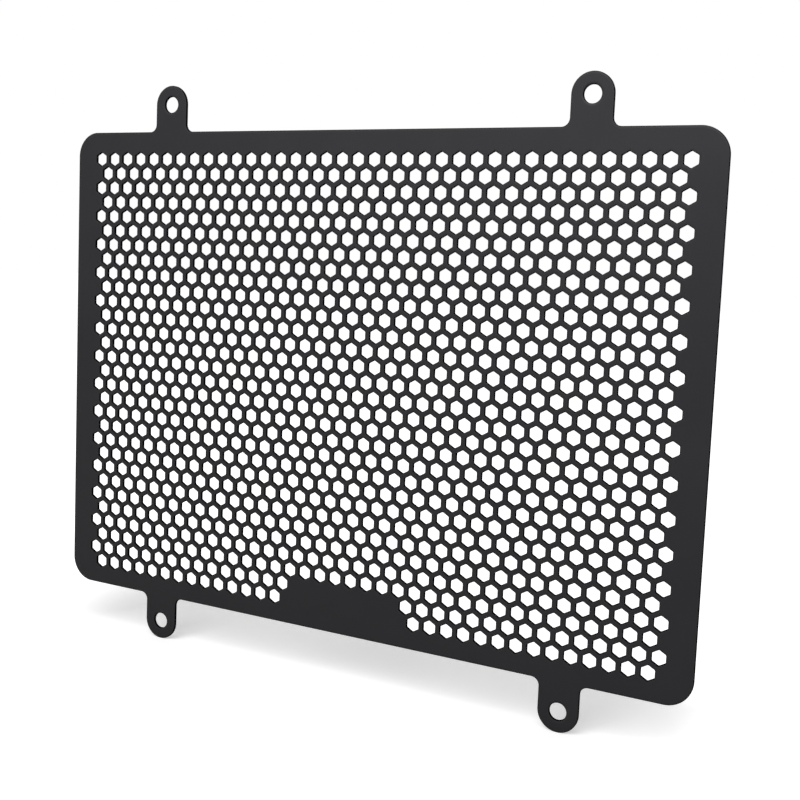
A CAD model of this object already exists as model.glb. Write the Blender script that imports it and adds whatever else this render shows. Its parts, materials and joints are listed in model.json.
# %% [markdown]
# # A motorcycle radiator guard
#
# The guard is one flat steel sheet, cut by laser and then powder coated. It has a field of
# hexagonal openings that lets the air through to the radiator and stops the stones, a plain
# border round the field, and a tab near each corner with a hole for a bolt.
#
# The frame already holds the sheet at its real size and place. This lesson builds the same sheet
# again with softened edges, gives it its coating and sets up a plain studio round it.

import json
import math

import bmesh
import bpy
from mathutils import Matrix, Vector


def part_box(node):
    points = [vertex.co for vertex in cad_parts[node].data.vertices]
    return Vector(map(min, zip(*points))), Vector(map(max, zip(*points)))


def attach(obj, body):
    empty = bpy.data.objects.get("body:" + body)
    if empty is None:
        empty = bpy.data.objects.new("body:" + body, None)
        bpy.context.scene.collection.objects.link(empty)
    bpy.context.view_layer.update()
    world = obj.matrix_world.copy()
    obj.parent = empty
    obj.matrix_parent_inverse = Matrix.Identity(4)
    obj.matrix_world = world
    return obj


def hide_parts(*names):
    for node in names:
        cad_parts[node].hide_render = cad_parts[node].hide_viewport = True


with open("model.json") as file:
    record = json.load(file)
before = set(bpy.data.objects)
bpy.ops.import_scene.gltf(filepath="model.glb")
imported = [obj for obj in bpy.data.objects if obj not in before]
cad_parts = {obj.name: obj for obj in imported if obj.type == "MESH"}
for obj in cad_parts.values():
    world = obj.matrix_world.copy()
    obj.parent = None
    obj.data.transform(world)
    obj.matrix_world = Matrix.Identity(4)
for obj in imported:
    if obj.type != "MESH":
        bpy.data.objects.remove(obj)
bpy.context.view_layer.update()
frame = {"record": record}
low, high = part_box("guard_sheet")
MM = 0.001
print("sheet in mm:", [round((b - a) / MM, 2) for a, b in zip(low, high)])

# %% [markdown]
# ## Sizes
#
# Whatever the frame knows is read from it: the size of the whole sheet, and the bolt holes in the
# record's mount. The rest are the few sizes that a workshop drawing of this guard would give.

# %% Sizes of the panel and its tabs
bolts = next(m for m in frame["record"]["mounts"] if m["name"] == "mounting_holes")["dims"]
hole_r = bolts["hole_r_mm"] * MM
hole_span = bolts["spacing_x_mm"] * MM
hole_rise = bolts["spacing_y_mm"] * MM

sheet_t = high.y - low.y
panel_w = high.x - low.x
panel_mid = (high.x + low.x) / 2
tab_reach = 11 * MM
panel_h = hole_rise - 2 * tab_reach
tab_r = 15.5 / 2 * MM
corner_r = 10 * MM
root_r = 3 * MM
tip_z = panel_h / 2 + tab_reach + tab_r
print("panel in mm:", round(panel_w / MM, 2), "x", round(panel_h / MM, 2))

# %% Sizes of the openings
opening_w = 5 * MM
web = 2 * MM
border_side = 10 * MM
border_end = 7 * MM
field_drop = 0.6 * MM
field_w = 56 * MM
field_rows = 2

pitch = opening_w + web
row_step = pitch * math.sin(math.radians(60))
opening_h = opening_w / math.cos(math.radians(30))
# The frame's sizes carry a tiny rounding error, which must not cost a row its last opening.
rounding = 0.01
long_row = math.floor((panel_w - 2 * border_side - opening_w) / pitch + rounding) + 1
rows = math.floor((panel_h - 2 * (border_end + field_drop) - opening_h) / row_step + rounding) + 1
print("openings in a long row:", long_row, "rows:", rows)

# %% [markdown]
# ## The camera
#
# The photograph looks at the guard from the right and a little above. The camera's place, its
# turn and its lens come from matching the openings' rows to the picture: the right edge is much
# nearer to the lens than the left one, so the rows converge strongly. The picture is also cut a
# little off the lens's middle, which is the small shift.

# %% Camera
IMAGE_PX = 800
SENSOR_MM = 36
focal_px = 1122.6
camera_place = Vector((210.9, -377.7, 52.6)) * MM
camera_yaw = math.radians(26.575)
camera_pitch = math.radians(-5.566)
camera_roll = math.radians(2.413)
lens_mid_px = Vector((404.7, 362.7))

bpy.ops.object.camera_add()
camera = bpy.context.object
camera.name = "camera"
camera.matrix_world = (
    Matrix.Translation(camera_place)
    @ Matrix.Rotation(camera_yaw, 4, "Z")
    @ Matrix.Rotation(math.pi / 2 + camera_pitch, 4, "X")
    @ Matrix.Rotation(camera_roll, 4, "Z")
)
camera.data.sensor_width = SENSOR_MM
camera.data.lens = focal_px * SENSOR_MM / IMAGE_PX
camera.data.shift_x = (IMAGE_PX / 2 - lens_mid_px.x) / IMAGE_PX
camera.data.shift_y = (lens_mid_px.y - IMAGE_PX / 2) / IMAGE_PX
camera.data.clip_start = 10 * MM
bpy.context.scene.camera = camera
bpy.context.scene.view_settings.view_transform = "Standard"
print("lens in mm:", round(camera.data.lens, 2))

# %% [markdown]
# ## Working in edit mode
#
# A modeller clicks on faces and edges. Here they are selected by their place instead, and each
# step then works on the selection, just as it would by hand.

# %% Helpers for selecting
def only(thing):
    """Selects this object alone and makes it the active one."""
    bpy.ops.object.select_all(action="DESELECT")
    thing.select_set(True)
    bpy.context.view_layer.objects.active = thing


def pick(kind, test):
    """In edit mode, selects the vertices, edges or faces that pass the test, and counts them."""
    bpy.ops.mesh.select_mode(type=kind)
    bpy.ops.mesh.select_all(action="DESELECT")
    mesh = bmesh.from_edit_mesh(bpy.context.object.data)
    chosen = [p for p in {"VERT": mesh.verts, "EDGE": mesh.edges, "FACE": mesh.faces}[kind] if test(p)]
    for part in chosen:
        part.select_set(True)
    mesh.select_flush_mode()
    bmesh.update_edit_mesh(bpy.context.object.data)
    return len(chosen)


def edit(thing):
    """Goes into edit mode on this object alone, with everything in it selected."""
    only(thing)
    bpy.ops.object.mode_set(mode="EDIT")
    bpy.ops.mesh.select_mode(type="VERT")
    bpy.ops.mesh.select_all(action="SELECT")


def leave():
    """Goes back to object mode."""
    bpy.ops.object.mode_set(mode="OBJECT")


def settle():
    """Puts the active object's place, turn and scale into its mesh."""
    bpy.ops.object.transform_apply(location=True, rotation=True, scale=True)


# %% [markdown]
# ## One cell of the honeycomb
#
# Openings and webs repeat as hexagonal cells with no gap between them. So one cell is modelled: a
# hexagon as wide as the pitch, inset by half a web, with its inner face deleted. What stays is
# half of each web round one opening. It stands with a point up, in the plane of the front face.

# %% The cell
merge_gap = 0.01 * MM
front_turn = (math.pi / 2, 0, 0)
# A hexagon's side is as long as its radius.
cell_side = pitch / math.sqrt(3)
opening_side = opening_h / 2
lowest_row_z = -field_drop - (rows - 1) / 2 * row_step


def row_start(count):
    """X of the first opening in a row of that many."""
    return panel_mid - (count - 1) / 2 * pitch


bpy.ops.object.select_all(action="DESELECT")
bpy.ops.mesh.primitive_circle_add(
    vertices=6,
    radius=cell_side,
    fill_type="NGON",
    location=(row_start(long_row - 1), low.y, lowest_row_z),
    rotation=front_turn,
)
cell = bpy.context.object
settle()
edit(cell)
bpy.ops.mesh.inset(thickness=web / 2)
bpy.ops.mesh.delete(type="FACE")
leave()
cell_faces = len(cell.data.polygons)
print("faces of a cell:", cell_faces)

# %% [markdown]
# ## The field of openings
#
# Short and long rows take turns, half a pitch apart. Arrays make one row of each, the two rows
# are joined, and a third array stacks the pair up the whole field. Each array merges the vertices
# where its copies meet, and a last merge sews the two kinds of row together. The cells of the
# plain field, in the lowest rows, are then deleted.

# %% Rows and field
def repeat(thing, step, count):
    """Repeats an object along one line and merges the seams between its copies."""
    only(thing)
    array = thing.modifiers.new("repeat", "ARRAY")
    array.count = count
    array.use_relative_offset = False
    array.use_constant_offset = True
    array.constant_offset_displace = step
    array.use_merge_vertices = True
    array.merge_threshold = merge_gap
    bpy.ops.object.modifier_apply(modifier=array.name)


only(cell)
bpy.ops.object.duplicate()
second = bpy.context.object
second.location = (-pitch / 2, 0, row_step)
settle()
repeat(cell, (pitch, 0, 0), long_row - 1)
repeat(second, (pitch, 0, 0), long_row)

only(cell)
second.select_set(True)
bpy.ops.object.join()
openings = bpy.context.object
repeat(openings, (0, 0, 2 * row_step), rows // 2)
edit(openings)
bpy.ops.mesh.remove_doubles(threshold=merge_gap)
leave()
print("cells:", len(openings.data.polygons) // cell_faces)


# %% Plain field
def in_plain_field(face):
    """True for a face of a cell that the plain field takes up."""
    middle = face.calc_center_median()
    row = round((middle.z - lowest_row_z) / row_step)
    start = row_start(long_row - 1 + row % 2)
    cell_x = start + round((middle.x - start) / pitch) * pitch
    return row < field_rows and abs(cell_x - panel_mid) < (field_w - row * pitch) / 2 - merge_gap


def on_field_edge(edge):
    """True for an outer edge of the field. An edge of an opening is shorter."""
    return edge.is_boundary and edge.calc_length() > (opening_side + cell_side) / 2


edit(openings)
pick("FACE", in_plain_field)
bpy.ops.mesh.delete(type="FACE")
pick("EDGE", on_field_edge)
bpy.ops.mesh.mark_seam()
leave()
print("openings:", len(openings.data.polygons) // cell_faces)

# %% [markdown]
# ## The outline
#
# The panel starts as a plane at its size. Cuts at the tabs' sides give the edges that are
# extruded into square-ended tabs. Dissolved into one face, the outline then has its corners
# rounded as a sheet-metal drawing gives them: the panel's corners, the tabs' ends and, with the
# smallest radius, the hollow roots. A narrow ring just inside the outline keeps the later edge
# softening even, and its inner loop is marked for the fill.

# %% Panel with square tabs
ring_w = 1 * MM
tab_x = [-hole_span / 2, hole_span / 2]

bpy.ops.object.select_all(action="DESELECT")
bpy.ops.mesh.primitive_plane_add(size=1, location=(panel_mid, low.y, 0), rotation=front_turn)
outline = bpy.context.object
settle()
edit(outline)
bpy.ops.transform.resize(value=(panel_w, 1, panel_h), center_override=(panel_mid, low.y, 0))
for x in tab_x:
    for side in (-tab_r, tab_r):
        bpy.ops.mesh.select_all(action="SELECT")
        bpy.ops.mesh.bisect(plane_co=(x + side, 0, 0), plane_no=(1, 0, 0))


def under_tab(edge, end):
    """True for the panel's top or bottom edge under a tab."""
    a, b = (v.co for v in edge.verts)
    level = all(abs(p.z - end * panel_h / 2) < merge_gap for p in (a, b))
    return level and any(abs((a.x + b.x) / 2 - x) < merge_gap for x in tab_x)


for end in (-1, 1):
    found = pick("EDGE", lambda edge: under_tab(edge, end))
    bpy.ops.mesh.extrude_edges_move(TRANSFORM_OT_translate={"value": (0, 0, end * (tab_reach + tab_r))})
    print("tabs extruded:", found)
bpy.ops.mesh.select_all(action="SELECT")
bpy.ops.mesh.dissolve_faces()


# %% Rounded corners
def at_panel_corner(v):
    """True for one of the panel's own corners."""
    return abs(abs(v.co.x - panel_mid) - panel_w / 2) < merge_gap


def at_tab_end(v):
    """True for a corner of a tab's square end."""
    return abs(abs(v.co.z) - tip_z) < merge_gap


def at_tab_root(v):
    """True for a corner between a tab and the panel."""
    level = abs(abs(v.co.z) - panel_h / 2) < merge_gap
    return level and any(abs(abs(v.co.x - x) - tab_r) < merge_gap for x in tab_x)


# Which corners are rounded, to what radius, and in how many steps
roundings = (
    (at_tab_root, root_r, 8),
    (at_panel_corner, corner_r, 20),
    (at_tab_end, tab_r, 16),
)
for test, radius, steps in roundings:
    found = pick("VERT", test)
    bpy.ops.mesh.bevel(
        affect="VERTICES", offset_type="ABSOLUTE", offset=radius, segments=steps, clamp_overlap=False
    )
    print("corners rounded:", found, "to", round(radius / MM, 2), "mm")
bpy.ops.mesh.select_all(action="SELECT")
bpy.ops.mesh.remove_doubles(threshold=merge_gap)

# %% Ring inside the outline
pick("FACE", lambda face: True)
bpy.ops.mesh.inset(thickness=ring_w)
bpy.ops.mesh.region_to_loop()
bpy.ops.mesh.mark_seam()
# The faces of the ring have four corners, and the one inside it has many more.
pick("FACE", lambda face: len(face.verts) > 4)
bpy.ops.mesh.delete(type="FACE")
leave()
print("faces of the ring:", len(outline.data.polygons))

# %% [markdown]
# ## Mounting holes
#
# Each hole starts as a circle of the bolt hole's radius. Its edge is extruded outwards into a
# ring, so that the hole keeps its true radius and its rim gets the same even softening as the
# outline.

# %% Rings round the mounting holes
hole_steps = 48
growth = (hole_r + ring_w) / hole_r
holes = []
for x in tab_x:
    for z in (-hole_rise / 2, hole_rise / 2):
        place = (x, low.y, z)
        bpy.ops.object.select_all(action="DESELECT")
        bpy.ops.mesh.primitive_circle_add(
            vertices=hole_steps, radius=hole_r, location=place, rotation=front_turn
        )
        hole = bpy.context.object
        settle()
        edit(hole)
        bpy.ops.mesh.extrude_region()
        bpy.ops.transform.resize(value=(growth, 1, growth), center_override=place)
        bpy.ops.mesh.mark_seam()
        leave()
        holes.append(hole)
print("mounting holes:", len(holes))

# %% [markdown]
# ## One sheet
#
# Outline, holes and field are joined, and the marked loops are filled: the fill leaves out the
# areas that an inner loop encloses. Solidify gives the sheet its thickness towards the back, and
# a Bevel softens every edge a little, as the coating does on a cut sheet, also the short edges
# in the corners of the hexagons. Weighted normals keep the faces flat to the eye.

# %% Join and fill
only(outline)
for part in (openings, *holes):
    part.select_set(True)
bpy.ops.object.join()
sheet = bpy.context.object
sheet.name = "guard_sheet_cut"
edit(sheet)
found = pick("EDGE", lambda edge: edge.seam)
bpy.ops.mesh.fill(use_beauty=True)
bpy.ops.mesh.select_all(action="SELECT")
bpy.ops.mesh.mark_seam(clear=True)
bpy.ops.mesh.normals_make_consistent(inside=False)
if bmesh.from_edit_mesh(sheet.data).faces[0].normal.y > 0:
    bpy.ops.mesh.flip_normals()
leave()
print("edges of the fill:", found, "faces of the front:", len(sheet.data.polygons))

# %% Thickness and softened edges
edge_softness = 0.2 * MM
# Edges that turn by more than soften_turn get the Bevel. Any that still turn by more than
# sharp_turn after it are shaded as sharp ones.
soften_turn = math.radians(30)
sharp_turn = math.radians(50)

solidify = sheet.modifiers.new("sheet thickness", "SOLIDIFY")
solidify.thickness = sheet_t
solidify.offset = -1
soften = sheet.modifiers.new("softened edges", "BEVEL")
soften.width = edge_softness
soften.segments = 1
soften.limit_method = "ANGLE"
soften.angle_limit = soften_turn
soften.use_clamp_overlap = False
only(sheet)
bpy.ops.object.modifier_apply(modifier=solidify.name)
bpy.ops.object.modifier_apply(modifier=soften.name)
bpy.ops.object.shade_smooth_by_angle(angle=sharp_turn)
weighted = sheet.modifiers.new("flat faces", "WEIGHTED_NORMAL")
weighted.keep_sharp = True
bpy.ops.object.modifier_apply(modifier=weighted.name)

# %% What the sheet measures
measured = bmesh.new()
measured.from_mesh(sheet.data)
loose = sum(not edge.is_manifold for edge in measured.edges)
triangles = sum(len(face.verts) - 2 for face in measured.faces)
volume_mm3 = measured.calc_volume() / MM**3
measured.free()
print("open edges:", loose, "triangles:", triangles, "volume in mm3:", round(volume_mm3, 1))

# %% [markdown]
# ## Nodes and colours
#
# One function turns a hex colour as it looks on a screen into the linear numbers that a shader
# wants. Another adds a node with its settings, and links the sockets that are given a socket.

# %% Helpers for materials
def linear(hex_colour):
    """An sRGB hex colour as linear red, green, blue and alpha, by the sRGB standard's own curve."""
    parts = [int(hex_colour[i : i + 2], 16) / 255 for i in (1, 3, 5)]
    return (*[p / 12.92 if p <= 0.04045 else ((p + 0.055) / 1.055) ** 2.4 for p in parts], 1)


def add_node(tree, kind, inputs=None, **settings):
    """Adds a node with its settings. An input that is given a socket is linked to it."""
    made = tree.nodes.new(kind)
    for name, value in settings.items():
        setattr(made, name, value)
    for name, value in (inputs or {}).items():
        if isinstance(value, bpy.types.NodeSocket):
            tree.links.new(value, made.inputs[name])
        else:
            made.inputs[name].default_value = value
    return made


def fresh_material(name):
    """A material with an empty node tree."""
    made = bpy.data.materials.new(name)
    made.use_nodes = True
    made.node_tree.nodes.clear()
    return made


# %% [markdown]
# ## The powder coat
#
# The sheet is coated with dry polyester powder that is baked until it flows together. That gives
# an even, thick charcoal skin with a low satin sheen. Close up it has a shallow orange peel, about
# two millimetres from one dimple to the next, and a fine grain from the matting agent in the
# powder. Both are noise on the sheet's own coordinates, and they reach the light through bump and
# roughness, because the coat's colour hardly varies.
#
# The charged powder keeps out of narrow gaps and draws back from a sharp edge as it melts. So all
# that the laser has cut, the walls of the openings and the softened edges beside them, has only a
# thin, dry coat over burnt steel. It looks nearly black, and it gives each opening and the outline
# a crisp dark rim. These faces have a material of their own, made by the same function.

# %% Powder coat
peel_size = 2.0 * MM
# The real grain is about 0.1 mm. It is drawn three times as coarse, as it would be lost otherwise.
grain_size = 0.3 * MM
cloud_size = 25 * MM


def powder_coat(name, dark, light, smooth, rough, sheen, peel_depth, grain_depth):
    """A baked powder coat whose colour drifts between two hex values and whose grain is matt."""
    coat = fresh_material(name)
    tree = coat.node_tree
    place = add_node(tree, "ShaderNodeTexCoord").outputs["Object"]
    peel = add_node(tree, "ShaderNodeTexNoise", {"Vector": place, "Scale": 1 / peel_size, "Detail": 1.0})
    grain = add_node(tree, "ShaderNodeTexNoise", {"Vector": place, "Scale": 1 / grain_size, "Detail": 2.0})
    clouds = add_node(tree, "ShaderNodeTexNoise", {"Vector": place, "Scale": 1 / cloud_size, "Detail": 3.0})
    colour = add_node(
        tree,
        "ShaderNodeMix",
        {0: clouds.outputs["Fac"], 6: linear(dark), 7: linear(light)},
        data_type="RGBA",
    )
    roughness = add_node(
        tree, "ShaderNodeMapRange", {"Value": grain.outputs["Fac"], "To Min": smooth, "To Max": rough}
    )
    peel_bump = add_node(
        tree, "ShaderNodeBump", {"Height": peel.outputs["Fac"], "Strength": 1.0, "Distance": peel_depth}
    )
    grain_bump = add_node(
        tree,
        "ShaderNodeBump",
        {
            "Height": grain.outputs["Fac"],
            "Strength": 1.0,
            "Distance": grain_depth,
            "Normal": peel_bump.outputs[0],
        },
    )
    surface = add_node(
        tree,
        "ShaderNodeBsdfPrincipled",
        {
            "Base Color": colour.outputs[2],
            "Roughness": roughness.outputs["Result"],
            "Specular IOR Level": sheen,
            "Normal": grain_bump.outputs[0],
        },
    )
    add_node(tree, "ShaderNodeOutputMaterial", {"Surface": surface.outputs["BSDF"]})
    return coat


# The even charcoal skin on the front and back, which gives the sheet its soft satin look
face_coat = powder_coat(
    "matte_polyester_powder_coat_on_steel",
    dark="#2b2b2e",
    light="#333234",
    smooth=0.5,
    rough=0.66,
    sheen=0.12,
    peel_depth=0.012 * MM,
    grain_depth=0.01 * MM,
)
# The near black of everything that the laser has cut, which draws a rim round each opening
edge_coat = powder_coat(
    "thin_dry_powder_coat_on_laser_cut_edge",
    dark="#080808",
    light="#0c0c0d",
    smooth=0.75,
    rough=0.9,
    sheen=0.0,
    peel_depth=0.004 * MM,
    grain_depth=0.02 * MM,
)
print("coats:", face_coat.name, edge_coat.name)

# %% Coats on the sheet
sheet.data.materials.clear()
for coat in (face_coat, edge_coat):
    sheet.data.materials.append(coat)
# Every face that is turned by more than this from the flat of the sheet is a cut one.
cut_turn = math.radians(25)
edit(sheet)
cut_faces = pick("FACE", lambda face: abs(face.normal.y) < math.cos(cut_turn))
sheet.active_material_index = 1
bpy.ops.object.material_slot_assign()
leave()
print("faces with the thin coat:", cut_faces)

# %% The sheet takes its place
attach(sheet, "root")
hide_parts("guard_sheet")
print("sheet in place:", sheet.name)

# %% [markdown]
# ## The studio
#
# The photograph shows the guard on pure white, with only a soft shadow on the floor close behind
# its lower edge. So what the camera sees of the world and of the floor is white. A small soft box
# stands above the guard, in front of it and a little to the right, and makes the upper part of the
# sheet lighter than the lower part. A larger one lights the guard from behind, and a third is for
# the floor. The rest is an even weak light all round.

# %% World
def to_camera(tree):
    """1 for rays that show a background: those of the camera, reflections and transmission."""
    path = add_node(tree, "ShaderNodeLightPath")
    seen = add_node(
        tree,
        "ShaderNodeMath",
        {0: path.outputs["Is Camera Ray"], 1: path.outputs["Is Glossy Ray"]},
        operation="MAXIMUM",
    )
    seen = add_node(
        tree,
        "ShaderNodeMath",
        {0: seen.outputs[0], 1: path.outputs["Is Transmission Ray"]},
        operation="MAXIMUM",
    )
    return seen.outputs[0]


ambient_level = 0.2
world = bpy.data.worlds.new("white studio")
bpy.context.scene.world = world
world.use_nodes = True
tree = world.node_tree
tree.nodes.clear()
light = add_node(tree, "ShaderNodeBackground", {"Color": (1, 1, 1, 1), "Strength": ambient_level})
white = add_node(tree, "ShaderNodeBackground", {"Color": (1, 1, 1, 1), "Strength": 1.0})
both = add_node(
    tree, "ShaderNodeMixShader", {0: to_camera(tree), 1: light.outputs[0], 2: white.outputs[0]}
)
add_node(tree, "ShaderNodeOutputWorld", {"Surface": both.outputs[0]})
print("light from all round:", ambient_level)

# %% [markdown]
# The floor is a large plane of white paper, with a light of its own that the camera and
# reflections see and that lights nothing else. Far from the guard it is full white. In a soft band
# behind the guard's foot it is weaker, and the lamp's light on the paper brings it up to white
# again, apart from where the guard's shadow falls.

# %% Floor
floor_size = 8000 * MM
bpy.ops.object.select_all(action="DESELECT")
bpy.ops.mesh.primitive_plane_add(size=floor_size, location=(0, 0, -tip_z))
floor = bpy.context.object
floor.name = "floor"
settle()
print("floor below the origin in mm:", round(tip_z / MM, 2))

# %% The band on the floor
# How strongly the paper glows in the middle of the band, where 1 is white
band_glow = 0.445
# Middle, half width and softness of the band, across the guard and from its front to its back
band_across = (-19 * MM, 151 * MM, 80 * MM)
band_behind = (20 * MM, 40 * MM, 30 * MM)


def band(tree, along, middle, half, soft):
    """1 in the middle of a band across one axis, and 0 past its soft edges."""
    offset = add_node(tree, "ShaderNodeMath", {0: along, 1: middle}, operation="SUBTRACT")
    offset = add_node(tree, "ShaderNodeMath", {0: offset.outputs[0]}, operation="ABSOLUTE")
    edge = add_node(
        tree,
        "ShaderNodeMapRange",
        {
            "Value": offset.outputs[0],
            "From Min": half - soft / 2,
            "From Max": half + soft / 2,
            "To Min": 1.0,
            "To Max": 0.0,
        },
        interpolation_type="SMOOTHSTEP",
    )
    return edge.outputs["Result"]


# %% Paper
# What the floor throws back onto the guard is weaker than what is seen of it.
thrown_back = "#464646"
seen_paper = "#e6e6e6"

paper = fresh_material("white_paper_floor")
tree = paper.node_tree
place = add_node(tree, "ShaderNodeTexCoord").outputs["Object"]
axes = add_node(tree, "ShaderNodeSeparateXYZ", {0: place})
across = band(tree, axes.outputs["X"], *band_across)
behind = band(tree, axes.outputs["Y"], *band_behind)
inside = add_node(tree, "ShaderNodeMath", {0: across, 1: behind}, operation="MULTIPLY")
fade = add_node(
    tree, "ShaderNodeMapRange", {"Value": inside.outputs[0], "To Min": 1.0, "To Max": band_glow}
)
level = add_node(
    tree, "ShaderNodeMath", {0: fade.outputs["Result"], 1: to_camera(tree)}, operation="MULTIPLY"
)
paper_colour = add_node(
    tree,
    "ShaderNodeMix",
    {0: to_camera(tree), 6: linear(thrown_back), 7: linear(seen_paper)},
    data_type="RGBA",
)
matt = add_node(tree, "ShaderNodeBsdfDiffuse", {"Color": paper_colour.outputs[2]})
glow = add_node(tree, "ShaderNodeEmission", {"Color": (1, 1, 1, 1), "Strength": level.outputs[0]})
both = add_node(tree, "ShaderNodeAddShader", {0: matt.outputs[0], 1: glow.outputs[0]})
add_node(tree, "ShaderNodeOutputMaterial", {"Surface": both.outputs[0]})
floor.data.materials.append(paper)
print("floor material:", paper.name)

# %% [markdown]
# In a studio, cards beside the lamps keep the light of each lamp off what it isn't meant for. Here
# light linking does the same. The lamp for the floor is about a metre wide and high, and stands
# about a metre from the guard, so that the guard's shadow begins softly at its foot. The other two
# are for the guard.

# %% Lamps
def soft_light(name, place, aim, width, depth, power, lit):
    """An area light at a place, turned towards a point, that lights only one object."""
    bpy.ops.object.light_add(type="AREA", location=place)
    lamp = bpy.context.object
    lamp.name = name
    lamp.rotation_euler = (Vector(aim) - Vector(place)).to_track_quat("-Z", "Y").to_euler()
    lamp.data.shape = "RECTANGLE"
    lamp.data.size = width
    lamp.data.size_y = depth
    lamp.data.energy = power
    lamp.light_linking.receiver_collection = bpy.data.collections.new(name)
    lamp.light_linking.receiver_collection.objects.link(lit)
    print(name, "for the", lit.name, "in watts:", power)


soft_light(
    "box over the floor",
    place=(0, -0.8, 0.68),
    aim=(0, 0, -tip_z),
    width=0.9,
    depth=1.06,
    power=11.8,
    lit=floor,
)
soft_light(
    "box above the guard",
    place=(0.1, -0.2, 0.45),
    aim=(0, 0, 0.05),
    width=0.3,
    depth=0.3,
    power=4.0,
    lit=sheet,
)
soft_light(
    "box behind the guard",
    place=(-0.15, 0.5, 0.4),
    aim=(0, 0, 0),
    width=0.5,
    depth=0.5,
    power=4.0,
    lit=sheet,
)
